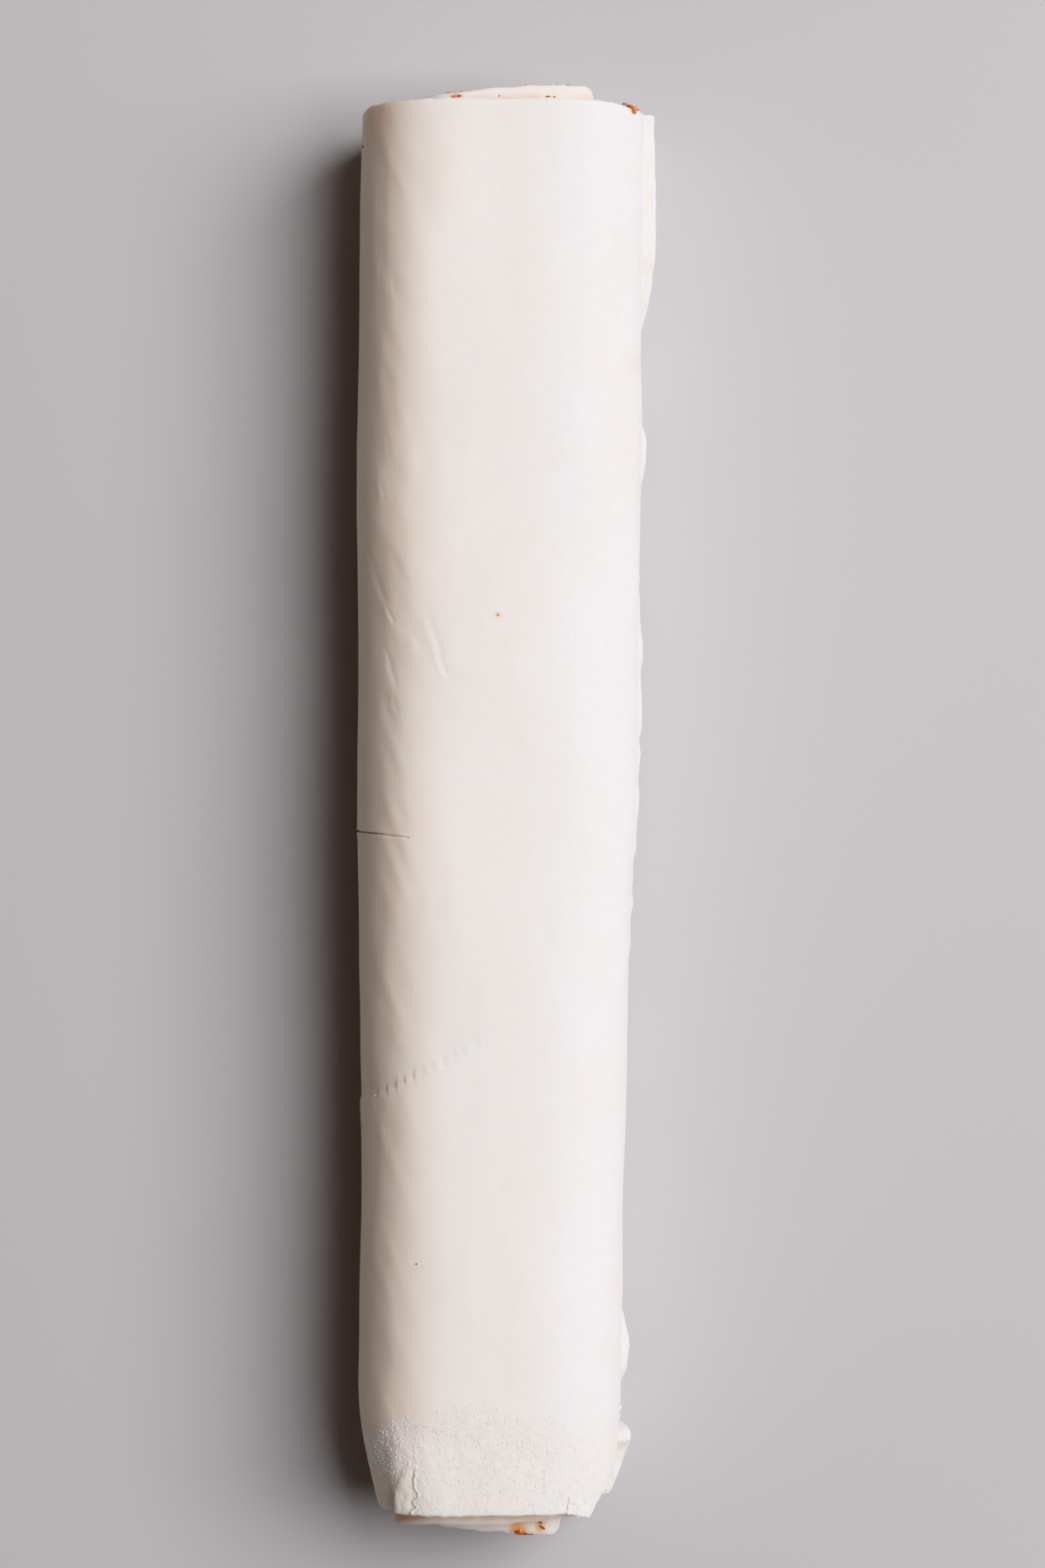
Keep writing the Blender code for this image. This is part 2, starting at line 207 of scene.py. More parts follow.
def table_value(table, x, column=1):
    return np.interp(x, [row[0] for row in table], [row[column] for row in table])


def smooth_value(table, x, column=1):
    """A smooth curve through a table, going on in a straight line past its ends."""
    at = np.array([row[0] for row in table])
    value = np.array([row[column] for row in table])
    slope = np.gradient(value, at)
    inside = clamp(x, at[0], at[-1])
    i = np.clip(np.searchsorted(at, inside, side="right") - 1, 0, len(at) - 2)
    width = at[i + 1] - at[i]
    t = (inside - at[i]) / width
    curve = (
        (2 * t**3 - 3 * t**2 + 1) * value[i]
        + (t**3 - 2 * t**2 + t) * width * slope[i]
        + (3 * t**2 - 2 * t**3) * value[i + 1]
        + (t**3 - t**2) * width * slope[i + 1]
    )
    end_slope = np.where(x < at[0], slope[0], slope[-1])
    return curve + end_slope * (x - inside)


def lattice(i, j, k, seed):
    h = (i * 374761393 + j * 668265263 + k * 1103515245 + seed * 974634777) & 0xFFFFFFFF
    h = ((h ^ (h >> 13)) * 1274126177) & 0xFFFFFFFF
    return (h ^ (h >> 16)) / 2**31 - 1.0


def soft_noise(points, size, seed=0):
    """Smooth noise from -1 to 1 at points (n, 3), with lumps of about that size."""
    q = np.asarray(points) / size
    cell = np.floor(q).astype(np.int64)
    f = q - cell
    f = f * f * (3 - 2 * f)
    total = np.zeros(len(q))
    for a in (0, 1):
        for b in (0, 1):
            for c in (0, 1):
                weight = np.ones(len(q))
                for axis, near in enumerate((a, b, c)):
                    weight = weight * (f[:, axis] if near else 1 - f[:, axis])
                total += weight * lattice(cell[:, 0] + a, cell[:, 1] + b, cell[:, 2] + c, seed)
    return total


def to_line(across, along, line):
    """Distance to a line of (across, along) points, signed by side, and the share of the line passed."""
    best = np.full(len(across), np.inf)
    side = np.zeros(len(across))
    passed = np.zeros(len(across))
    lengths = [math.dist(p, q) for p, q in zip(line, line[1:])]
    total, done = sum(lengths), 0.0
    for (p, q), length in zip(zip(line, line[1:]), lengths):
        dx, dy = (q[0] - p[0]) / length, (q[1] - p[1]) / length
        rx, ry = across - p[0], along - p[1]
        at = clamp(rx * dx + ry * dy, 0.0, length)
        ox, oy = rx - at * dx, ry - at * dy
        distance = np.hypot(ox, oy)
        closer = distance < best
        best = np.where(closer, distance, best)
        side = np.where(closer, np.sign(ox * dy - oy * dx), side)
        passed = np.where(closer, (done + at) / total, passed)
        done += length
    return best, side, passed


# The winding


def wound_point(turns, radius):
    """A point of the winding, in the roll's section: flat runs between bends that are squarer further out."""
    angle = 2 * math.pi * turns
    across, up = np.cos(angle), np.sin(angle)
    straight = CORNER_SQUARENESS * radius * radius / SQUARE_RADIUS
    bend = radius - straight
    reach = math.tanh(STRAIGHT_SHARPNESS)
    x = (CORE_HALF_WIDTH + straight) * np.tanh(STRAIGHT_SHARPNESS * across) / reach + bend * across
    z = straight * np.tanh(STRAIGHT_SHARPNESS * up) / reach + bend * up
    return np.stack([x, z], axis=-1)


def sheet_radius(turns):
    return PITCH * turns - FLAP_PRESS * smooth_step(turns, FLAP_START, FLAP_PRESSED)


def sauce_radius(turns):
    return PITCH * (turns - 0.5)


def offset_curve(turns, radius_of, distance):
    """The wound curve moved outwards by a distance, square to itself."""
    step = 1e-4
    before = wound_point(turns - step, radius_of(turns - step))
    after = wound_point(turns + step, radius_of(turns + step))
    tangent = after - before
    tangent /= np.linalg.norm(tangent, axis=-1, keepdims=True)
    outward = np.stack([tangent[..., 1], -tangent[..., 0]], axis=-1)
    return wound_point(turns, radius_of(turns)) + np.asarray(distance)[..., None] * outward


def underside():
    points = offset_curve(np.linspace(3.56, 3.94, 160), sheet_radius, SHEET_THICKNESS / 2)
    order = np.argsort(points[:, 0])
    return points[order, 0], points[order, 1]


UNDERSIDE_X, UNDERSIDE_Z = underside()
ROUND_BASE = UNDERSIDE_Z.min()
ROUND_LEFT = offset_curve(np.array(LEFT), sheet_radius, SHEET_THICKNESS / 2)[0]
ROUND_RIGHT = offset_curve(np.array(RIGHT), sheet_radius, SHEET_THICKNESS / 2)[0]
ROUND_HEIGHT = offset_curve(np.array(TOP), sheet_radius, SHEET_THICKNESS / 2)[1] - ROUND_BASE


def settle(section):
    """Sets the winding on the floor: its lower half sinks until the underside is flat."""
    x = section[..., 0]
    z = section[..., 1] - ROUND_BASE
    rise = np.interp(x, UNDERSIDE_X, UNDERSIDE_Z - ROUND_BASE)
    still = 0.5 * ROUND_HEIGHT
    share = clamp((still - z) / np.maximum(still - rise, 1))
    return np.stack([x, z - np.minimum(rise, SAG) * share], axis=-1)


def place(section, along):
    """Fits the settled section to the roll's width and height at that place along it."""
    left, right, height = (smooth_value(SECTIONS, along, column) for column in (1, 2, 3))
    share = (section[..., 0] - ROUND_LEFT) / (ROUND_RIGHT - ROUND_LEFT)
    x = left + share * (right - left)
    z = np.maximum(section[..., 1] * height / ROUND_HEIGHT - FLOOR_PRESS, 0.0)
    return np.stack([x, along, z], axis=-1)


def telescope(turns, x):
    near = table_value(NEAR_TELESCOPE, turns) * table_value(NEAR_SLANT, x)
    far = table_value(FAR_TELESCOPE, turns) * table_value(FAR_SLANT, x)
    return near, far


def slide_out(along, near, far):
    near_share = clamp(1 - along / SLIDE_LENGTH)
    far_share = clamp(1 - (ROLL_LENGTH - along) / SLIDE_LENGTH)
    return along - near * near_share + far * far_share


# What shows on the sheet


def flour_cover(across, along):
    """How floury the dough is: a patch at the near end, and a drift on the left shoulder."""
    points = flat_points(across, along)
    edge = smooth_value(FLOUR_EDGE, across) + 1.3 * soft_noise(points, 3.2, 3) + 0.6 * soft_noise(points, 1.1, 4)
    patch = smooth_step(edge - along, -0.9, 1.6)
    distance, side, passed = to_line(across, along, FLOUR_DRIFT)
    drift = bump(distance, 0, 2.6) * (side > 0) * (0.55 + 0.45 * soft_noise(points, 1.4, 5)) * fading(passed, 0.35, 1)
    bare_side = fading(across, -17.4, -16) * fading(along, 5, 8)
    return clamp(patch * (1 - 0.85 * bare_side) + 0.75 * clamp(drift))


def flour_on(points):
    """The flour on the outermost turn, fading out down its sides."""
    return flour_cover(points[:, 0], points[:, 1]) * smooth_step(points[:, 2], 14, 24)


def crease_relief(across, along):
    depth = np.zeros(len(across))
    for line, half_width, deep, lip in CREASES:
        reach = 4 * half_width
        low = np.min(line, axis=0) - reach
        high = np.max(line, axis=0) + reach
        near = (across > low[0]) & (across < high[0]) & (along > low[1]) & (along < high[1])
        if not near.any():
            continue
        distance, side, passed = to_line(across[near], along[near], line)
        fade = smooth_step(passed, -0.05, 0.3) * fading(passed, 0.75, 1.05)
        groove = deep * bump(distance, 0, half_width)
        raised = lip * bump(distance * side, 1.3 * half_width, 1.5 * half_width)
        depth[near] += fade * (groove - raised)
    return depth


def ledge(x, along):
    """The ledge's depth and the side face left of it, and how much of the place is cut dough."""
    left, right = table_value(LEDGE_LEFT, along), table_value(LEDGE_RIGHT, along)
    fade = fading(along, 6.5, 10.4)
    on_ledge = smooth_step(x, left - 0.25, left + 0.1) * fading(x, right - 0.06, right + 0.03)
    share = clamp((x - left) / np.maximum(right - left, 0.3))
    step_down = on_ledge * ((LEDGE_DEPTH + LEDGE_RAISED) * share - LEDGE_RAISED)
    side_face = SIDE_DEPTH * fading(x, left - 0.7, left) * clamp((x + 20.6) / 3.4)
    return fade * step_down, fading(along, 3, 11) * side_face, fade * on_ledge


def near_end_relief(across, along):
    """The pinched left shoulder with its ledge, and the tear on the right."""
    points = flat_points(across, along)
    pinch = 0.15 * fading(along, 1.5, 12) * bump(across, -20.5, 5)
    step_down, side_face, cut = ledge(across, along)
    streaks = 0.07 * cut * soft_noise(points * (1, 0.22, 1), 0.4, 8)
    distance, _, passed = to_line(across, along, LEAF_CRACK)
    crack = 0.24 * bump(distance, 0, 0.26) * smooth_step(passed, 0, 0.3)
    curl = 0.06 * bump(distance, 0, 1.3)
    ragged = 1 + 0.5 * soft_noise(points, 0.9, 9)
    distance, _, passed = to_line(across, along, NEAR_TEAR)
    open_tear = 0.14 * smooth_step(passed, 0, 0.5) * bump(distance, 0, 0.22 * ragged)
    short_tear = 0.16 * bump(to_line(across, along, TEAR_CRACK)[0], 0, 0.2 * ragged)
    right_of_tear = smooth_step(across, 11, 11.6) * fading(along, 1.6, 4.2)
    crumpled = right_of_tear * (0.06 + 0.14 * soft_noise(points, 0.7, 10))
    return pinch + step_down + side_face + streaks + crack - curl + open_tear + short_tear + crumpled


def outer_relief(points, torn=True):
    """How far the outermost turn's face lies inside its even shape, with or without the torn places at its ends."""
    x, along, z = points.T
    wave = 0.25 * np.sin(along / 11 + 1.3) * np.sin(x / 9 + along / 31)
    lumps = 0.13 * soft_noise(points * (1, 0.55, 1), 7, 1)
    pores = 0.035 * soft_noise(points * (1, 0.6, 1), 2.4, 2)
    drawn = 0.09 * soft_noise(points * (1, 0.25, 1), 2.2, 6) * bump(x, -21, 6)
    drawn += 0.07 * soft_noise(flat_points(x + 0.45 * along, 0.22 * along), 1.7, 61) * bump(x, -17.5, 6.5)

    distance, _, passed = to_line(x, along, CRACK)
    crack = CRACK_DEPTH * (1 - 0.75 * passed) * bump(distance, 0, 0.24 - 0.13 * passed) * (x < CRACK_END)
    gape = 0.1 * bump(distance, 0, 1.6) * fading(passed, 0.4, 1)
    distance, side, passed = to_line(x, along, LOW_STEP)
    step = 0.14 * side * bump(distance, 0, 7) * fading(passed, 0.5, 1)

    strokes = 0.042 * soft_noise(flat_points(x + 0.5 * along, 0.5 * along), 0.42, 7) * fading(x, -14, -6)
    floury = flour_cover(x, along) * (0.04 + 0.034 * soft_noise(points, 0.7, 62) + strokes)
    drop = 0.7 + 2.4 * smooth_step(along, 2.5, 8)
    shoulder = clamp((-x - 7) / 9.5) * smooth_step(x + 16.5 + drop, 0, drop)
    fuller = 0.9 * shoulder * fading(along, 7, 15)
    marks = crack - gape - step - floury - fuller + crease_relief(x, along)
    if torn:
        marks += near_end_relief(x, along)
    return smooth_step(z, 1, 5) * (lumps + pores) + smooth_step(z, 12, 18) * (wave + drawn + marks)


def free_edge(along):
    return smooth_value(FREE_EDGE, along) + 0.004 * soft_noise(flat_points(0 * along, along), 2.3, 11)


def rounded_off(distance, radius=0.5):
    """How much a rounded edge takes off the sheet's face at a distance from the edge."""
    left = clamp(radius - distance, 0.0, radius)
    return radius - np.sqrt(radius * radius - left * left)


def sheet_points(turns, along, layer, torn=True):
    """Points of the sheet. Layer is 0 on its inner face and 1 on its outer face."""
    share = clamp((turns - FLAP_START) / (SHEET_END - FLAP_START))
    reached = turns + share * (free_edge(along) - SHEET_END)
    from_end = np.minimum(along, ROLL_LENGTH - along)
    from_edge = (SHEET_END - turns) * OUTERMOST_TURN_LENGTH
    half = SHEET_THICKNESS / 2 - rounded_off(from_end) - rounded_off(from_edge)
    distance = (2 * layer - 1) * np.maximum(half, 0.4)
    section = settle(offset_curve(reached, sheet_radius, distance))
    near, far = telescope(turns, section[:, 0])
    near = near + table_value(NEAR_CORNER, turns) + table_value(NEAR_RIGHT_END, turns)
    far = far + table_value(FAR_OUTER_END, turns)

    # Cut ends are a little ragged, and the layers of dough stand a little proud of the butter
    inside = 4 * layer * (1 - layer)
    flat = flat_points(section[:, 0], section[:, 1])
    leaf = layer + 0.05 * soft_noise(flat, 2.5, 12)
    layers = 0.055 * np.cos(2 * math.pi * DOUGH_LEAVES * leaf) * inside
    ragged = 0.14 * soft_noise(flat, 1.5, 13) + 0.06 * soft_noise(flat, 0.5, 14)
    at_end = clamp(1 - from_end / 0.7)
    y = slide_out(along, near, far) + at_end * (layers - ragged) * np.where(along < ROLL_LENGTH / 2, -1, 1)

    points = place(section, y)
    splayed = 0.6 * bump(turns, 2.44, 0.13) * clamp(-points[:, 1], 0, 3)
    points[:, 0] -= splayed
    inner = place(settle(offset_curve(reached, sheet_radius, distance - 1)), points[:, 1])
    inward = (inner - points) / np.linalg.norm(inner - points, axis=-1, keepdims=True)
    visible = smooth_step(turns, OUTER_TURN_START, OUTER_TURN_START + 0.03)
    points = points + (outer_relief(points, torn) * layer * layer * visible)[:, None] * inward

    # The free edge's own cut face shows its layers too
    at_edge = clamp(1 - from_edge / 0.6)
    leaf = layer + 0.04 * soft_noise(flat_points(layer * 8, along * 0.12), 1.5, 15)
    nibbled = 0.12 * soft_noise(flat_points(layer * 3, along), 1.3, 16)
    points[:, 2] += at_edge * inside * (0.05 * np.cos(2 * math.pi * DOUGH_LEAVES * leaf) + nibbled)
    return points


def stations_between(*stretches):
    """Places along the roll from stretches of (start, end, step)."""
    found = [np.arange(start, end, step) for start, end, step in stretches]
    return np.append(np.concatenate(found), stretches[-1][1])


FINE_STATIONS = stations_between(
    (0, 0.6, 0.12), (0.6, 12, 0.3), (12, 20, 0.4), (20, 64, 1.2), (64, 82, 0.8), (82, 109.4, 1.2),
    (109.4, 112.4, 0.11), (112.4, 130, 1.2), (130, 158, 0.36), (158, 225, 1.0), (225, 229.4, 0.4), (229.4, 230, 0.12),
)
END_STATIONS = stations_between(
    (0, 0.6, 0.12), (0.6, 5, 0.9), (5, 10, 2.5), (10, 220, 14), (220, 225, 2.5), (225, 229.4, 0.9),
    (229.4, 230, 0.12),
)


def turns_by_step(start, end, step_of):
    """Turns from start to end whose outer face points are step_of(turns) apart."""
    dense = np.linspace(start, end, 6000)
    points = offset_curve(dense, sheet_radius, SHEET_THICKNESS / 2)
    length = np.linalg.norm(np.diff(points, axis=0), axis=1)
    count = np.concatenate([[0], np.cumsum(length / step_of((dense[1:] + dense[:-1]) / 2))])
    steps = math.ceil(count[-1])
    return np.interp(np.linspace(0, count[-1], steps + 1), count, dense)


# Stretches of the outermost turn whose points are wide apart, or close together
UNDERNEATH = (3.6, 3.84)
CLOSE_STRETCHES = ((3.09, 3.19), (3.32, 3.395), (3.9, 4))
INNER_STEP, SAUCE_STEP = 0.8, 0.7


def outer_step(turns):
    """Wide steps underneath, and close ones at the free edge and where the near end's shoulders are torn."""
    hidden = (turns > UNDERNEATH[0]) & (turns < UNDERNEATH[1])
    close = np.any([(turns > start) & (turns < end) for start, end in CLOSE_STRETCHES], axis=0)
    return np.where(hidden, 1.6, np.where(close, 0.24, 0.55))


INNER_TURNS = turns_by_step(SHEET_START, OUTER_TURN_START, lambda turns: INNER_STEP)
OUTER_TURNS = turns_by_step(OUTER_TURN_START, SHEET_END, outer_step)


# Mesh making


def add_object(name, data):
    made = bpy.data.objects.new(name, data)
    bpy.context.scene.collection.objects.link(made)
    return made


def zip_columns(a, b):
    """Faces between two neighbouring columns of (station, vertex): quads, or triangles where one has more."""
    faces = []
    i = j = 0
    while i + 1 < len(a) or j + 1 < len(b):
        half_a = a[i][0] + a[i + 1][0] if i + 1 < len(a) else math.inf
        half_b = b[j][0] + b[j + 1][0] if j + 1 < len(b) else math.inf
        if half_a == half_b:
            faces.append((a[i][1], b[j][1], b[j + 1][1], a[i + 1][1]))
            i, j = i + 1, j + 1
        elif half_a < half_b:
            faces.append((a[i][1], b[j][1], a[i + 1][1]))
            i += 1
        else:
            faces.append((a[i][1], b[j][1], b[j + 1][1]))
            j += 1
    return faces


class Skin:
    """Patches of surface that share their edges, gathered into one mesh."""

    def __init__(self):
        self.points, self.faces, self.slots, self.marks = [], [], [], {}
        self.count = 0

    def add(self, points, faces, slot, **marks):
        self.points.append(points)
        self.faces += [tuple(v + self.count for v in face) for face in faces]
        self.slots += [slot] * len(faces)
        for name, values in marks.items():
            self.marks.setdefault(name, []).append(np.broadcast_to(values, len(points)))
        self.count += len(points)

    def patch(self, columns, slot, flip, **mark_of):
        """A patch from columns of (keys, points)."""
        lines, points = [], []
        first = 0
        for keys, column in columns:
            lines.append([(float(k), first + n) for n, k in enumerate(keys)])
            points.append(column)
            first += len(column)
        faces = []
        for a, b in zip(lines, lines[1:]):
            faces += zip_columns(a, b)
        if flip:
            faces = [face[::-1] for face in faces]
        points = np.concatenate(points)
        self.add(points, faces, slot, **{name: of(points) for name, of in mark_of.items()})

    def piece(self, name, materials):
        mesh = bpy.data.meshes.new(name)
        points = MM * (np.concatenate(self.points) + (AXIS_X, NEAR_END_Y, 0))
        mesh.from_pydata([tuple(p) for p in points], [], self.faces)
        for material in materials:
            mesh.materials.append(material)
        mesh.polygons.foreach_set("material_index", self.slots)
        for mark, values in self.marks.items():
            kept = mesh.attributes.new(mark, "FLOAT", "POINT")
            kept.data.foreach_set("value", np.concatenate(values).astype(np.float32))
        weld = bmesh.new()
        weld.from_mesh(mesh)
        bmesh.ops.remove_doubles(weld, verts=weld.verts, dist=1e-6)
        weld.to_mesh(mesh)
        weld.free()
        mesh.shade_smooth()
        return add_object(name, mesh)


def full(value, like):
    return np.full(len(like), float(value))


def column(points_of, keys, turns, along, layer):
    """A column's keys and its points of the sheet or sauce. A single value holds all along the column."""
    return keys, points_of(*(np.broadcast_to(value, len(keys)) for value in (turns, along, layer)))


def skin_damp(points):
    """Damp, see-through dough at the left of the far end, where the sauce shows through, and thinly over the left
    shoulder a cloudy brown that is painted shade.
    """
    x, along, _ = points.T
    corner = 1.3 * bump(x, -20.4, 4) * smooth_step(along, 219, 228)
    cloud = 0.5 + 0.5 * soft_noise(points * (1, 0.6, 1), 6, 21)
    return clamp(0.75 * corner * (0.55 + 0.45 * cloud) + 0.12 * cloud * bump(x, -18, 7))


# Painted shade: the whole skin but its lit right side is this much warmer than DOUGH_WHITE
PLAIN_SHADE_WARMTH = 0.24


def skin_shade_warmth(points):
    """Painted warm shade: the skin is warmer in colour towards the shaded left shoulder and side, and whitest on the
    lit right side.
    """
    x = points[:, 0]
    cloud = 0.06 * soft_noise(points * (1, 0.5, 1), 7, 23)
    left = clamp(0.9 * fading(x, -21, -8) + cloud) * (1 - 0.5 * flour_on(points))
    return 1 - (1 - left) * (1 - PLAIN_SHADE_WARMTH * fading(x, 1, 13))


def skin_cut(points):
    """Where the skin is torn off cut dough."""
    return ledge(points[:, 0], points[:, 1])[2] * (points[:, 2] > 18)


# Smears of sauce on the turns that stand out of the ends: across, along, half width, half depth, strength
SMEARS = (
    (3, -3.2, 2.2, 1.8, 1.2), (6.6, -2.7, 1.2, 1.9, 1.2), (-7.1, 231.8, 1.4, 0.6, 0.8), (-0.1, 231.8, 0.6, 0.45, 0.9),
    (8.2, 231.8, 1.5, 0.45, 0.5), (-3.4, 231.7, 1.8, 0.5, 0.2), (4.2, 231.7, 2, 0.5, 0.2),
)

# The sauce wipes off on the turns beside the outermost turn's end, further out for the lower turns
HIDDEN_SLOPE = 0.19
OUTER_TOP = 31


def inner_stain(points):
    """The inner turns stand out of the ends: stained beside the turn outside them, and round the sauce."""
    x, along, z = points.T
    out = np.maximum(-along, along - ROLL_LENGTH) - HIDDEN_SLOPE * (OUTER_TOP - z)
    broken = 0.6 + 0.55 * soft_noise(points * (1, 1, 0), 1.9, 24)
    near_end = along < ROLL_LENGTH / 2
    beside = 0.36 * clamp(broken) * np.exp(-np.maximum(out, 0) / 0.28) * smooth_step(z, 17, 21)
    found = np.where(near_end, 0.11, 0.035) + beside
    for across, at, wide, deep, strength in SMEARS:
        near_it = bump(np.hypot((x - across) / wide, (along - at) / deep), 0, 1)
        found = found + strength * clamp(broken + 0.25) * near_it
    cream = smooth_step(x, 7.7, 8.2) * near_end
    return clamp(found, 0, 0.85) * (1 - 0.85 * cream)


# Faint spots of sauce on the skin: across, along, radius, strength
FAINT_SPOTS = ((-0.26, 146.4, 0.9, 0.35), (8.6, 170.9, 1.8, 0.07), (22.6, 187.8, 3.2, 0.1))


def skin_stain(points):
    """Sauce showing on the dough as faint spots."""
    x, along, z = points.T
    spots = [strength * bump(np.hypot(x - across, along - at), 0, size) for across, at, size, strength in FAINT_SPOTS]
    return np.max(spots, axis=0) * (z > 5)


def cut_stain(points):
    return 0.38 * smooth_step(soft_noise(points, 2.4, 22), 0.05, 0.75)


def edge_flour(points):
    """The free edge is floury, but for its tab near the near end."""
    return 0.85 - 0.7 * bump(points[:, 1], 9.5, 2.5)


DOUGH_MARKS = ("damp", "stain", "floury", "warm", "cut")


def marks_of(**given):
    """The dough's marks, nought where none is given."""
    return {mark: given.get(mark, lambda points: full(0, points)) for mark in DOUGH_MARKS}


def make_sheet(dough, cut):
    """The whole sheet: both faces, the two cut ends, and the edges that it starts and ends with."""
    skin = Skin()
    all_turns = np.concatenate([INNER_TURNS[:-1], OUTER_TURNS])
    shown = marks_of(
        damp=skin_damp, stain=skin_stain, floury=lambda p: flour_on(p) * (1 - 0.8 * skin_cut(p)), warm=skin_shade_warmth,
        cut=skin_cut,
    )
    # The inner turns take the plain painted shade warmth
    tucked = marks_of(stain=inner_stain, warm=lambda p: full(PLAIN_SHADE_WARMTH, p))
    for turns, marks in ((INNER_TURNS, tucked), (OUTER_TURNS, shown)):
        for layer, fine_from in ((1.0, OUTER_TURN_START), (0.0, FLAP_START)):
            columns = []
            for t in turns:
                stations = FINE_STATIONS if t >= fine_from - 1e-9 else END_STATIONS
                columns.append(column(sheet_points, stations, t, stations, layer))
            skin.patch(columns, 0, layer == 0.0, layer=lambda p, v=layer: full(v, p), **marks)

    leaves = np.linspace(0, 1, 17)
    for along in (0.0, ROLL_LENGTH):
        columns = [column(sheet_points, leaves, t, along, leaves) for t in all_turns]
        mark = np.tile(leaves, len(all_turns))
        skin.patch(columns, 1, along == 0.0, layer=lambda p, m=mark: m, **marks_of(stain=cut_stain))

    for t, stations, flip in ((all_turns[0], END_STATIONS, False), (all_turns[-1], FINE_STATIONS, True)):
        columns = [column(sheet_points, stations, t, stations, leaf) for leaf in leaves]
        mark = np.repeat(leaves, len(stations))
        skin.patch(columns, 1, flip, layer=lambda p, m=mark: m, **marks_of(floury=edge_flour))
    return skin.piece("rolled_sheet", [dough, cut])


# The sauce

SAUCE_START, SAUCE_END = 0.68, 3.70
SAUCE_THICKNESS = 1.38
SAUCE_SET_BACK = 0.4


def sauce_points(turns, along, layer):
    half = SAUCE_THICKNESS / 2
    from_end = np.minimum(along, ROLL_LENGTH - along)
    half = half - 0.45 * rounded_off(from_end, 0.6)
    section = settle(offset_curve(turns, sauce_radius, (2 * layer - 1) * half))
    near, far = telescope(turns, section[:, 0])
    flat = np.column_stack([section, along * 0.2])
    lumps = 0.45 * soft_noise(flat, 1.6, 31) + 0.2 * soft_noise(flat, 0.6, 32)
    near = near - SAUCE_SET_BACK + lumps + 1.2 * bump(turns, 1.20, 0.05)
    far = far - SAUCE_SET_BACK + lumps + 1.3 * bump(turns, 3.04, 0.02)
    near = near + np.minimum(table_value(NEAR_RIGHT_END, turns), 0.0)
    far = far + np.minimum(table_value(FAR_OUTER_END, turns), 0.0)
    return place(section, slide_out(along, near, far))


def make_sauce(material):
    skin = Skin()
    turns = turns_by_step(SAUCE_START, SAUCE_END, lambda turns: SAUCE_STEP)
    leaves = np.linspace(0, 1, 6)
    for layer in (1.0, 0.0):
        columns = [column(sauce_points, END_STATIONS, t, END_STATIONS, layer) for t in turns]
        skin.patch(columns, 0, layer == 0.0)
    for along in (0.0, ROLL_LENGTH):
        skin.patch([column(sauce_points, leaves, t, along, leaves) for t in turns], 0, along == 0.0)
    for t, flip in ((turns[0], False), (turns[-1], True)):
        skin.patch([column(sauce_points, END_STATIONS, t, END_STATIONS, leaf) for leaf in leaves], 0, flip)
    return skin.piece("sauce_between_turns", [material])


def top_turns(across, along):
    """The turns value of the outermost face's upper half at a place seen from above."""
    turns = np.linspace(RIGHT + 0.01, LEFT - 0.01, 400)
    section = settle(offset_curve(turns, sheet_radius, SHEET_THICKNESS / 2))
    left, right = (smooth_value(SECTIONS, along, column) for column in (1, 2))
    x = ROUND_LEFT + (across - left) / (right - left) * (ROUND_RIGHT - ROUND_LEFT)
    return np.interp(-x, -section[:, 0], turns)


def on_top(across, along, torn=True):
    """Points on the dough seen from above, and their outward directions."""
    turns = top_turns(across, along)
    face = np.ones(len(turns))
    points = sheet_points(turns, along, face, torn)
    aside = sheet_points(turns + 0.002, along, face, torn) - sheet_points(turns - 0.002, along, face, torn)
    onward = sheet_points(turns, along + 0.3, face, torn) - points
    outward = np.cross(onward, aside)
    outward /= np.linalg.norm(outward, axis=1, keepdims=True)
    return points, outward * np.sign(outward[:, 2:] + 1e-9)


def ball(detail):
    mesh = bmesh.new()
    bmesh.ops.create_icosphere(mesh, subdivisions=detail, radius=1.0)
    points = np.array([v.co for v in mesh.verts])
    faces = [tuple(v.index for v in face.verts) for face in mesh.faces]
    mesh.free()
    return points, faces


# Lumps of sauce: across, along and height of the middle, then half sizes
SAUCE_LUMPS = (
    (21.8, 229.15, 25.75, 0.6, 0.6, 0.5), (21.1, 229.6, 26.4, 0.55, 0.26, 0.35),
    (20.3, 229.85, 27.1, 0.4, 0.16, 0.25), (22.2, 230.1, 18.4, 0.8, 0.6, 0.9), (21.6, 230.2, 20.6, 0.6, 0.4, 0.8),
    (-7.5, 231.75, 23.6, 0.36, 0.15, 0.13), (-6.65, 231.8, 23.65, 0.36, 0.18, 0.13),
    (-0.1, 231.8, 23.75, 0.24, 0.1, 0.1), (7.8, 231.75, 23.4, 0.5, 0.12, 0.12), (8.9, 231.75, 23.3, 0.28, 0.11, 0.1),
    (3.15, -3.6, 21.55, 0.85, 0.7, 0.42), (4.3, -4.1, 21.2, 0.5, 0.22, 0.25), (5.2, -4.15, 21.1, 0.5, 0.16, 0.2),
)
RIM_CRUMBS = 26


def lumpy(unit, shift, amount, size, seed):
    """A ball whose points are moved in and out, differently for each shift."""
    return unit * (1 + amount * soft_noise(unit + shift, size, seed))[:, None]


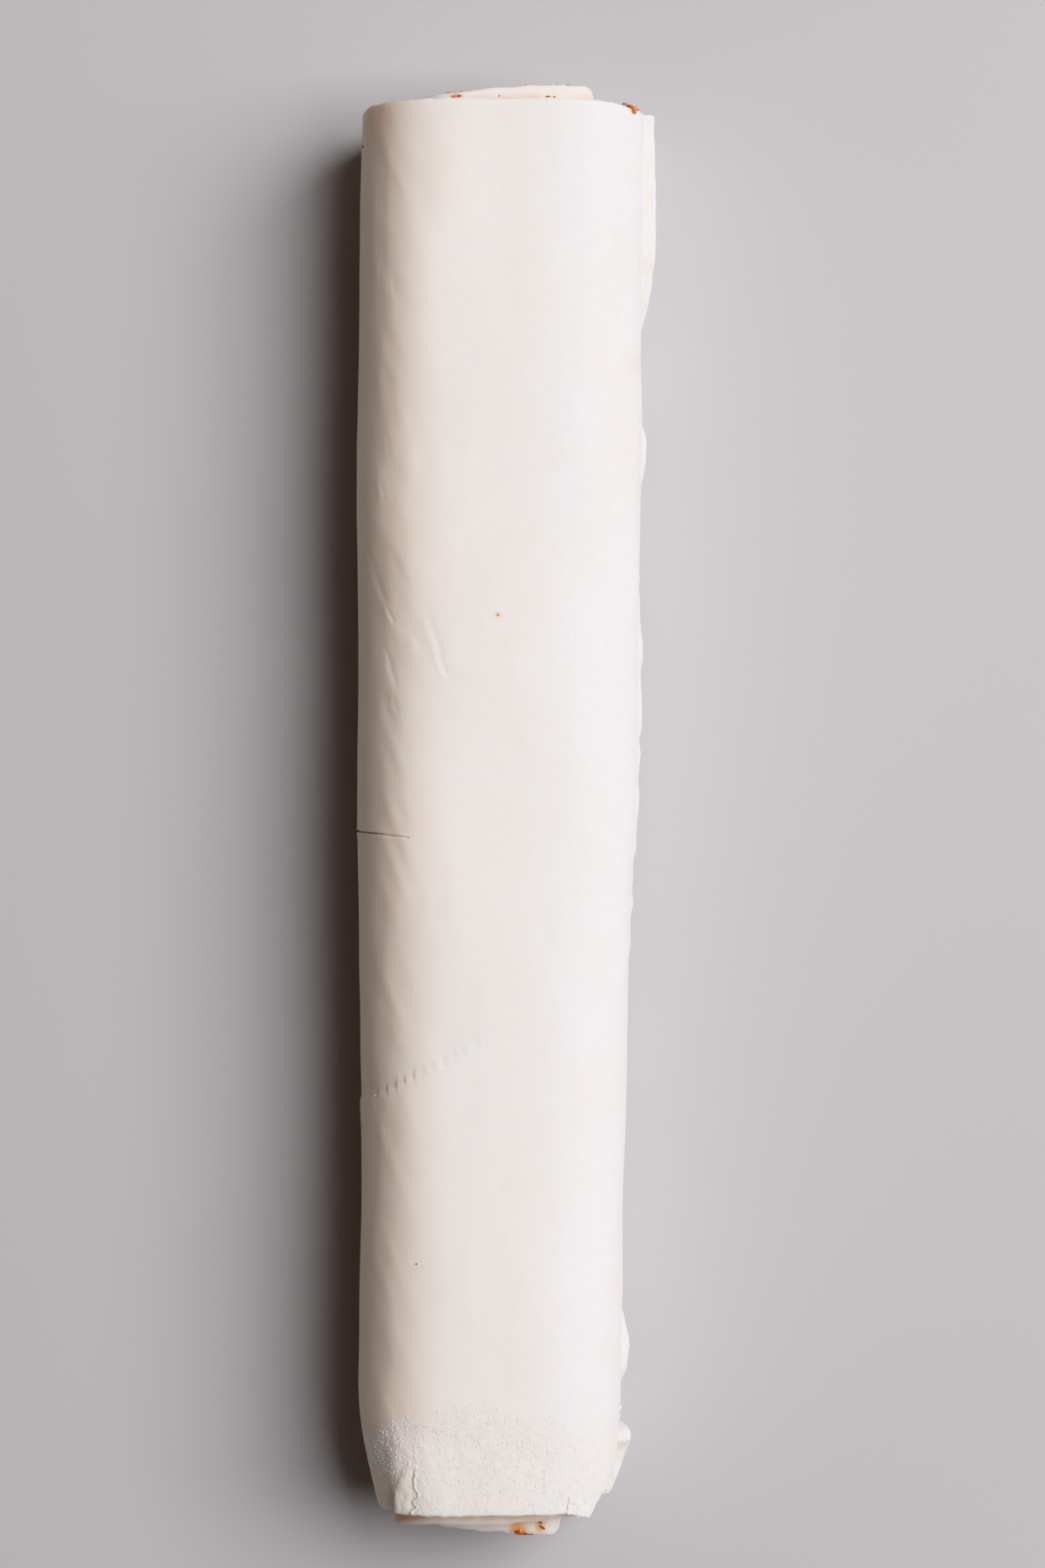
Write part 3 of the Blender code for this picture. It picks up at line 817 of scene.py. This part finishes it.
def make_lumps(material):
    skin = Skin()
    unit, faces = ball(4)
    for number, (across, along, up, wide, deep, tall) in enumerate(SAUCE_LUMPS):
        shape = 1 + 0.28 * soft_noise(unit + number * 7.3, 0.55, 41) + 0.1 * soft_noise(unit + number * 3.1, 0.22, 42)
        skin.add(unit * shape[:, None] * (wide, deep, tall) + (across, along, up), faces, 0)

    # Crumbs of sauce along the far end's rim
    random = np.random.default_rng(11)
    unit, faces = ball(2)
    for number in range(RIM_CRUMBS):
        turns, layer = np.array([random.uniform(1.17, 1.36)]), np.array([random.uniform(0.8, 1.0)])
        rim = sheet_points(turns, np.array([ROLL_LENGTH]), layer)[0]
        skin.add(lumpy(unit, 2.7 * number, 0.35, 0.6, 45) * random.uniform(0.08, 0.2) + rim, faces, 0)
    return skin.piece("squeezed_sauce", [material])


# Slivers of dark herb in the near end's sauce: two ends (across, along, height) and the half width
HERBS = (
    ((6.0, -1.6, 21.95), (6.9, -2.4, 21.85), 0.2),
    ((6.3, -2.7, 21.45), (7.4, -3.5, 21.1), 0.2),
    ((5.2, -4.15, 21.2), (6.2, -4.3, 21.0), 0.10),
)


def make_herbs(material):
    skin = Skin()
    unit, faces = ball(3)
    for number, (start, end, half_width) in enumerate(HERBS):
        start, end = np.array(start), np.array(end)
        ahead = (end - start) / 2
        side = np.cross((0, 0, 1), ahead)
        side *= half_width / np.linalg.norm(side)
        axes = np.array([ahead, side, (0, 0, 0.5 * half_width)])
        skin.add((start + end) / 2 + lumpy(unit, 4.1 * number, 0.25, 0.5, 44) @ axes, faces, 0)
    return skin.piece("herb_slivers", [material])


# Specks on the dough: across, along, half size
SAUCE_SPECKS = ((-0.26, 146.4, 0.2), (-22.35, 223.9, 0.28), (-22.6, 224.3, 0.16))
PEPPER_SPECKS = ((-13.5, 41.5, 0.14),)


def flat_specks(name, places, material, height=0.45):
    skin = Skin()
    unit, faces = ball(2)
    across, along, size = np.array(places).T
    for number, (middle, out) in enumerate(zip(*on_top(across, along))):
        side = np.cross(out, (0, 1, 0))
        side /= np.linalg.norm(side)
        axes = np.array([side, np.cross(side, out), height * out])
        skin.add(middle + lumpy(unit, number * 5.7, 0.3, 0.7, 43) * size[number] @ axes, faces, 0)
    return skin.piece(name, [material])


def flour_grains(material):
    """Clumps of flour on the floury dough, a few tenths of a millimetre across."""
    random = np.random.default_rng(7)
    tries = 26000
    across = random.uniform(-21.5, 17.5, tries)
    along = np.where(random.random(tries) < 0.86, random.uniform(0.5, 19.5, tries), random.uniform(66, 79, tries))
    cover = flour_cover(across, along) * (1 - ledge(across, along)[2]) * smooth_step(across, -21.5, -18.5)
    left_edge = 0.35 + 0.65 * bump(across, -18, 9)
    keep = random.random(tries) < 0.5 * cover * left_edge
    across, along = across[keep], along[keep]
    sizes = 0.045 + 0.1 * random.random(len(across)) ** 3
    turn = random.uniform(0, 2 * math.pi, len(across))
    skin = Skin()
    unit, faces = ball(1)
    for middle, out, size, angle in zip(*on_top(across, along), sizes, turn):
        c, s = math.cos(angle), math.sin(angle)
        spin = np.array([(c, s, 0), (-s, c, 0), (0, 0, 1)])
        skin.add(middle + unit * (1.3, 0.9, 0.6) * size @ spin + 0.2 * size * out, faces, 0)
    return skin.piece("flour_grains", [material])


# Torn flakes in the near end's tear: corner points (across, along, lift off the dough) of each flake
FLAKES = (
    ((11.25, 3.4, 0.05), (12.5, 3.1, 0.05), (12.3, 1.9, 0.12), (11.2, 2.0, 0.10)),
    ((11.1, 2.1, 0.06), (12.6, 1.9, 0.05), (12.4, 0.9, 0.12), (11.0, 1.0, 0.10)),
    ((11.6, 1.2, 0.06), (12.7, 1.0, 0.05), (12.4, 0.3, 0.14), (11.3, 0.2, 0.10)),
    ((10.75, 1.0, 0.05), (11.4, 1.1, 0.07), (11.35, 0.1, 0.10), (10.85, 0.1, 0.05)),
)
FLAKE_GRID = 13
LEAF_ACROSS, LEAF_ALONG = 26, 120
LEAF_FROM, LEAF_TO, LEAF_WIDTH = 0.1, 9.4, 0.8


def grid_faces(rows, columns):
    return [
        (i * columns + j, i * columns + j + 1, (i + 1) * columns + j + 1, (i + 1) * columns + j)
        for i in range(rows - 1)
        for j in range(columns - 1)
    ]


def rim_of(rows, columns):
    """The grid's outline, as vertex numbers in order."""
    grid = np.arange(rows * columns).reshape(rows, columns)
    return np.concatenate([grid[:, 0], grid[-1, 1:], grid[-2::-1, -1], grid[0, -2:0:-1]]).tolist()


def add_leaf(skin, upper, lower, rows, columns, flour):
    """A thin closed leaf between two grids of points."""
    grid = grid_faces(rows, columns)
    # The leaves take the plain painted shade warmth
    skin.add(upper, grid, 0, floury=flour, warm=PLAIN_SHADE_WARMTH)
    skin.add(lower, [face[::-1] for face in grid], 0, floury=flour, warm=PLAIN_SHADE_WARMTH)
    high, low = skin.count - 2 * rows * columns, skin.count - rows * columns
    rim = rim_of(rows, columns)
    skin.faces += [(low + a, high + a, high + b, low + b) for a, b in zip(rim, rim[1:] + rim[:1])]
    skin.slots += [0] * len(rim)


def make_flakes(material):
    """The skin torn away beside the ledge, and small curled flakes in the tear on the right."""
    skin = Skin()
    shares, stations = np.linspace(0, 1, LEAF_ACROSS), np.linspace(LEAF_FROM, LEAF_TO, LEAF_ALONG)
    inwards, along = (values.ravel() for values in np.meshgrid(shares, stations, indexing="ij"))
    line = flat_points(0 * along, along)
    edge = table_value(LEDGE_RIGHT, along) + 0.08 * soft_noise(line, 0.55, 55) + 0.03 * soft_noise(line, 0.2, 56)
    points, outward = on_top(edge + inwards * LEAF_WIDTH, along, False)
    curl = 0.05 * (1 - inwards) ** 2 * (0.8 + soft_noise(line, 1.2, 57))
    lift = 0.01 + curl - 0.15 * smooth_step(inwards, 0.35, 1)
    thick = 0.04 + 0.12 * smooth_step(inwards, 0, 0.35)
    upper = points + lift[:, None] * outward
    flour = flour_cover(upper[:, 0], upper[:, 1])
    add_leaf(skin, upper, upper - thick[:, None] * outward, LEAF_ACROSS, LEAF_ALONG, flour)

    shares = np.linspace(0, 1, FLAKE_GRID)
    u, v = (values.ravel() for values in np.meshgrid(shares, shares, indexing="ij"))
    weights = np.column_stack([(1 - u) * (1 - v), u * (1 - v), u * v, (1 - u) * v])
    for number, corners in enumerate(FLAKES):
        sheet = weights @ np.array(corners)
        wander = np.column_stack([soft_noise(sheet + 9000 * number, 0.5, seed) for seed in (51, 52, 53)])
        across, along, lift = (sheet + wander * (0.12, 0.16, 0.05)).T
        points, outward = on_top(across, along)
        sheet = points + lift[:, None] * outward
        thick = 0.14 * (1 - 0.7 * np.maximum(np.abs(2 * u - 1), np.abs(2 * v - 1)) ** 3)
        half = 0.5 * thick[:, None] * outward
        add_leaf(skin, sheet + half, sheet - half, FLAKE_GRID, FLAKE_GRID, 0.5)
    return skin.piece("torn_flakes", [material])


# Materials

# How much light goes into the dough, how far in metres, and how much of that for red, green and blue
DOUGH_SOFTNESS, DOUGH_REACH, DOUGH_SPREAD = 0.5, 0.004, (1.0, 0.6, 0.42)


class Maker:
    """Adds and joins shader nodes in one tree."""

    def __init__(self, tree):
        self.tree = tree

    def node(self, kind, **settings):
        made = self.tree.nodes.new("ShaderNode" + kind)
        for name, value in settings.items():
            setattr(made, name, value)
        return made

    def join(self, source, target):
        self.tree.links.new(source, target)

    def feed(self, socket, value):
        if isinstance(value, bpy.types.NodeSocket):
            self.join(value, socket)
        else:
            socket.default_value = value

    def fill(self, made, **values):
        """Sets a node's sockets, or joins them to other nodes. An underscore stands for a space."""
        for name, value in values.items():
            self.feed(made.inputs[name.replace("_", " ")], value)
        return made

    def noise(self, vector, scale, detail=2.0, roughness=0.5):
        made = self.node("TexNoise")
        return self.fill(made, Detail=detail, Roughness=roughness, Scale=scale, Vector=vector).outputs["Fac"]

    def sum(self, operation, first, second):
        made = self.node("Math", operation=operation)
        self.feed(made.inputs[0], first)
        self.feed(made.inputs[1], second)
        return made.outputs[0]

    def times(self, first, second):
        return self.sum("MULTIPLY", first, second)

    def plus(self, first, second):
        return self.sum("ADD", first, second)

    def minus(self, first, second):
        return self.sum("SUBTRACT", first, second)

    def mix(self, share, first, second):
        made = self.node("Mix", data_type="RGBA", clamp_factor=True)
        self.feed(made.inputs[0], share)
        self.feed(made.inputs[6], first)
        self.feed(made.inputs[7], second)
        return made.outputs[2]

    def range(self, value, low, high, to_low=0.0, to_high=1.0):
        made = self.node("MapRange", clamp=True, interpolation_type="SMOOTHSTEP")
        self.fill(made, Value=value, From_Min=low, From_Max=high, To_Min=to_low, To_Max=to_high)
        return made.outputs["Result"]

    def mark(self, name):
        return self.node("Attribute", attribute_name=name).outputs["Fac"]

    def place(self, scale=(1, 1, 1)):
        where = self.node("TexCoord").outputs["Object"]
        return self.fill(self.node("Mapping"), Scale=scale, Vector=where).outputs["Vector"]


def new_group(name, inputs, outputs):
    tree = bpy.data.node_groups.new(name, "ShaderNodeTree")
    for label, kind, value in inputs:
        socket = tree.interface.new_socket(label, in_out="INPUT", socket_type=kind)
        socket.default_value = value
    for label, kind in outputs:
        tree.interface.new_socket(label, in_out="OUTPUT", socket_type=kind)
    return tree, tree.nodes.new("NodeGroupInput"), tree.nodes.new("NodeGroupOutput")


def dough_grain_group():
    """The cloudy colour of raw dough and the fine grain of its skin."""
    tree, given, out = new_group(
        "dough_grain",
        (("Cloud Size", "NodeSocketFloat", 90.0), ("Grain Size", "NodeSocketFloat", 2200.0)),
        (("Cloud", "NodeSocketFloat"), ("Speckle", "NodeSocketFloat"), ("Height", "NodeSocketFloat")),
    )
    make = Maker(tree)
    where = make.place((1.0, 0.7, 1.0))
    cloud = make.noise(where, given.outputs["Cloud Size"], 3.0, 0.55)
    make.join(make.range(cloud, 0.35, 0.68), out.inputs["Cloud"])
    grain = make.noise(where, given.outputs["Grain Size"], 3.0, 0.6)
    make.join(make.range(grain, 0.60, 0.78), out.inputs["Speckle"])
    pores = make.noise(where, make.times(given.outputs["Grain Size"], 0.33), 2.0, 0.5)
    make.join(make.plus(make.times(grain, 0.45), make.times(pores, 0.55)), out.inputs["Height"])
    return tree


def flour_dust_group():
    """Flour lying in a broken film: Amount is how much of it there is."""
    tree, given, out = new_group(
        "flour_dust",
        (("Amount", "NodeSocketFloat", 0.0), ("Clump Size", "NodeSocketFloat", 1300.0)),
        (("Cover", "NodeSocketFloat"), ("Height", "NodeSocketFloat")),
    )
    make = Maker(tree)
    where = make.place()
    clumps = make.noise(where, given.outputs["Clump Size"], 4.0, 0.7)
    missing = make.minus(1.0, given.outputs["Amount"])
    bare = make.plus(make.times(missing, 0.5), 0.28)
    cover = make.range(make.minus(clumps, bare), -0.06, 0.22)
    cover = make.times(cover, make.range(given.outputs["Amount"], 0.02, 0.3))
    make.join(cover, out.inputs["Cover"])
    make.join(make.times(cover, clumps), out.inputs["Height"])
    return tree


def new_material(name):
    material = bpy.data.materials.new(name)
    material.use_nodes = True
    return material, Maker(material.node_tree), material.node_tree.nodes["Principled BSDF"]


def placed(make, group, **values):
    return make.fill(make.node("Group", node_tree=group), **values)


def raised(make, height, shader, strength, distance):
    made = make.fill(make.node("Bump"), Strength=strength, Distance=distance, Height=height)
    make.join(made.outputs["Normal"], shader.inputs["Normal"])


def soften(make, shader, weight):
    """Light goes a little way into dough."""
    make.fill(shader, Subsurface_Weight=weight, Subsurface_Scale=DOUGH_REACH, Subsurface_Radius=DOUGH_SPREAD)


def raw_dough(name, grain, dust, softness):
    """The sheet's skin. Softness is how much light goes into it, which is none in a thin torn leaf."""
    material, make, shader = new_material(name)
    skin = placed(make, grain, Cloud_Size=75.0, Grain_Size=2400.0)
    flour = placed(make, dust, Amount=make.mark("floury"), Clump_Size=1500.0)
    colour = make.mix(make.times(skin.outputs["Cloud"], 0.32), DOUGH_WHITE, DOUGH_CREAM)
    colour = make.mix(make.times(skin.outputs["Speckle"], 0.25), colour, FLOUR_WHITE)
    # Painted warm shade towards the shaded left side, with the lit right side left whiter
    colour = make.mix(make.mark("warm"), colour, SHADE_WARM_DOUGH)
    # Damp brown at the far-left corner, and painted brown shade thinly over the left shoulder
    colour = make.mix(make.times(make.mark("damp"), 0.55), colour, DAMP_AND_SHADE_BROWN)
    streaks = make.range(make.noise(make.place((1.0, 0.16, 1.0)), 2600.0, 2.0), 0.48, 0.72)
    torn = make.mix(make.times(streaks, 0.22), CUT_CREAM, BUTTER)
    colour = make.mix(make.mark("cut"), colour, torn)
    colour = make.mix(make.mark("stain"), colour, OIL_ORANGE)
    colour = make.mix(make.times(flour.outputs["Cover"], 0.6), colour, FLOUR_WHITE)
    rough = make.range(flour.outputs["Cover"], 0.0, 1.0, 0.52, 0.9)
    make.fill(shader, Base_Color=colour, Roughness=rough, Specular_IOR_Level=0.35)
    height = make.plus(skin.outputs["Height"], make.times(flour.outputs["Height"], 1.8))
    raised(make, height, shader, strength=0.35, distance=0.00012)
    soften(make, shader, softness)
    return material


# Leaves of dough in the colour of a cut edge
PAINTED_LEAVES = 9


def cut_dough(grain):
    """The cut edge of the sheet: thin leaves of dough with butter between them."""
    material, make, shader = new_material("cut_dough")
    skin = placed(make, grain, Cloud_Size=260.0, Grain_Size=1800.0)
    wander = make.times(make.noise(make.place(), 420.0, 2.0), 0.16)
    leaf = make.plus(make.mark("layer"), wander)
    wave = make.sum("SINE", make.times(leaf, 2 * math.pi * PAINTED_LEAVES), 0.0)
    butter = make.times(make.range(wave, -0.2, 0.9), make.minus(1.0, make.mark("floury")))
    colour = make.mix(make.range(skin.outputs["Cloud"], 0.0, 1.0, 0.4, 0.75), DOUGH_WHITE, DOUGH_CREAM)
    colour = make.mix(make.times(butter, 0.3), colour, BUTTER)
    colour = make.mix(make.mark("stain"), colour, OIL_ORANGE)
    make.fill(shader, Base_Color=colour, Roughness=make.range(butter, 0.0, 1.0, 0.6, 0.42))
    height = make.minus(skin.outputs["Height"], make.times(butter, 0.9))
    raised(make, height, shader, strength=0.5, distance=0.00012)
    soften(make, shader, DOUGH_SOFTNESS)
    return material


def wet_sauce():
    """A red pepper sauce: orange oil, redder pulp and dark herb flecks."""
    material, make, shader = new_material("wet_sauce")
    pulp = make.range(make.noise(make.place(), 900.0, 4.0, 0.6), 0.33, 0.6)
    colour = make.mix(pulp, SAUCE_ORANGE, SAUCE_RED)
    flecks = make.fill(make.node("TexVoronoi"), Scale=620.0, Vector=make.place())
    herb = make.range(flecks.outputs["Distance"], 0.10, 0.2, 1.0, 0.0)
    colour = make.mix(make.times(herb, 0.75), colour, HERB)
    rough = make.range(pulp, 0.0, 1.0, 0.22, 0.4)
    make.fill(shader, Base_Color=colour, Roughness=rough, Coat_Weight=0.25, Coat_Roughness=0.15)
    raised(make, make.noise(make.place(), 1400.0, 3.0), shader, strength=0.6, distance=0.0002)
    return material


def loose_flour(grain):
    material, make, shader = new_material("loose_flour")
    skin = placed(make, grain, Cloud_Size=500.0, Grain_Size=5000.0)
    colour = make.mix(make.times(skin.outputs["Cloud"], 0.3), FLOUR_WHITE, DOUGH_WHITE)
    make.fill(shader, Base_Color=colour, Roughness=make.range(skin.outputs["Cloud"], 0.0, 1.0, 0.85, 0.95))
    raised(make, skin.outputs["Height"], shader, strength=0.4, distance=0.00005)
    return material


def brown_herb():
    material, make, shader = new_material("brown_herb")
    colour = make.mix(make.noise(make.place(), 2500.0, 3.0), (0.16, 0.065, 0.02, 1.0), (0.36, 0.16, 0.06, 1.0))
    make.fill(shader, Base_Color=colour, Roughness=0.45)
    raised(make, make.noise(make.place(), 3200.0, 2.0), shader, strength=0.5, distance=0.00008)
    return material


def dark_pepper():
    material, make, shader = new_material("dark_pepper")
    colour = make.mix(make.noise(make.place(), 4000.0, 2.0), (0.06, 0.04, 0.03, 1.0), (0.16, 0.11, 0.08, 1.0))
    make.fill(shader, Base_Color=colour, Roughness=0.7)
    return material


# The floor, the light and the camera


def make_floor():
    material, make, shader = new_material("pale_floor")
    tone = make.range(make.noise(make.place(), 6.0, 2.0), 0.3, 0.7)
    darker = tuple(0.985 * c for c in FLOOR_GREY[:3]) + (1.0,)
    make.fill(shader, Base_Color=make.mix(tone, FLOOR_GREY, darker), Roughness=0.85, Specular_IOR_Level=0.2)
    mesh = bpy.data.meshes.new("floor")
    far = 3.0
    mesh.from_pydata([(-far, -far, 0), (far, -far, 0), (far, far, 0), (-far, far, 0)], [], [(0, 1, 2, 3)])
    mesh.materials.append(material)
    add_object("floor", mesh)


def area_light(name, azimuth, elevation, distance, size, power, colour):
    """A square light that faces the roll from a direction: azimuth from +X towards +Y, in degrees."""
    light = bpy.data.lights.new(name, "AREA")
    light.size = size
    light.energy = power
    light.color = colour
    lamp = add_object(name, light)
    a, e = math.radians(azimuth), math.radians(elevation)
    lamp.location = distance * Vector((math.cos(a) * math.cos(e), math.sin(a) * math.cos(e), math.sin(e)))
    lamp.rotation_euler = lamp.location.to_track_quat("Z", "Y").to_euler()


def make_light():
    area_light("window", azimuth=19, elevation=53.5, distance=1.6, size=1.3, power=34.7, colour=(1.0, 0.985, 0.99))
    world = bpy.data.worlds.new("room")
    world.use_nodes = True
    background = world.node_tree.nodes["Background"]
    background.inputs["Color"].default_value = (1.0, 0.93, 0.89, 1.0)
    background.inputs["Strength"].default_value = 0.11
    bpy.context.scene.world = world
    bpy.context.scene.view_settings.view_transform = "Khronos PBR Neutral"


def make_camera():
    camera = bpy.data.cameras.new("camera")
    camera.lens = 85.0
    camera.sensor_width = 36.0
    camera.clip_start = 0.01
    eye = add_object("camera", camera)
    eye.location = (2.6 * MM, 4.6 * MM, 630.0 * MM)
    bpy.context.scene.camera = eye


def keep_in_box(piece, box):
    """No piece reaches out of the box of the solids."""
    low, high = np.array(box)
    mesh = piece.data
    points = np.empty(3 * len(mesh.vertices), np.float32)
    mesh.vertices.foreach_get("co", points)
    points = np.clip(points.reshape(-1, 3), low, high)
    mesh.vertices.foreach_set("co", points.ravel())
    mesh.update()


def main():
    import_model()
    solid_box = [list(corner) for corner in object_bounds()]
    grain, dust = dough_grain_group(), flour_dust_group()
    dough = raw_dough("raw_dough", grain, dust, DOUGH_SOFTNESS)
    leaf = raw_dough("torn_dough", grain, dust, 0.0)
    cut, sauce = cut_dough(grain), wet_sauce()

    sheet = make_sheet(dough, cut)
    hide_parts("pastry_sheet")
    filling = make_sauce(sauce)
    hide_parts("sauce_filling")
    pieces = {
        sheet: "pastry",
        filling: "sauce",
        make_lumps(sauce): "sauce",
        make_herbs(brown_herb()): "sauce",
        flat_specks("sauce_specks", SAUCE_SPECKS, sauce): "sauce",
        flat_specks("pepper_specks", PEPPER_SPECKS, dark_pepper()): "sauce",
        flour_grains(loose_flour(grain)): "pastry",
        make_flakes(leaf): "pastry",
    }
    for piece, slot in pieces.items():
        keep_in_box(piece, solid_box)
        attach(piece, "root")

    make_floor()
    make_light()
    make_camera()


main()
